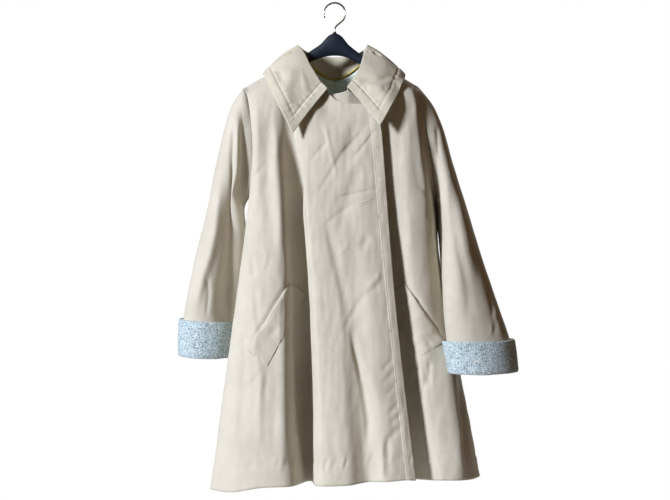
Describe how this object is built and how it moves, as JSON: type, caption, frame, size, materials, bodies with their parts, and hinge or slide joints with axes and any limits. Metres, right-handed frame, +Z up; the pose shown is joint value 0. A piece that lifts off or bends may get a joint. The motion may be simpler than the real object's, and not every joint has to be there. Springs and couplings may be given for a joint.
{
  "type": "coat on a hanger",
  "caption": "Beige swing coat with a wide pointed collar, slanted welt pockets and turned-back tweed cuffs, hanging on a dark plastic hanger.",
  "frame": {"origin": "inner top of the hanger's hook, where the rail bears", "axes": "+Z up, the coat's front faces -Y, +X is the viewer's right"},
  "size_m": [0.7489, 0.2848, 1.094],
  "materials": {
    "gabardine": "matte fine twill",
    "collar_gabardine": "matte fine twill",
    "tweed": "coarse flecked tweed",
    "piping": "matte",
    "hanger_plastic": "satin",
    "hook_steel": "polished"
  },
  "bodies": {
    "root": {"front_right": "gabardine", "front_left": "gabardine", "back_right": "gabardine", "back_left": "gabardine", "front_edge_band": "gabardine", "sleeve_right": "gabardine", "sleeve_left": "gabardine", "pocket_welt_right": "gabardine", "pocket_welt_left": "gabardine", "buttonhole_welt": "gabardine", "collar": "collar_gabardine", "collar_band": "collar_gabardine", "collar_end_band_right": "collar_gabardine", "collar_end_band_left": "collar_gabardine", "collar_stand": "collar_gabardine", "cuff_right": "tweed", "cuff_left": "tweed", "neck_piping": "piping", "hanger_body": "hanger_plastic", "hanger_hook": "hook_steel"}
  },
  "joints": []
}
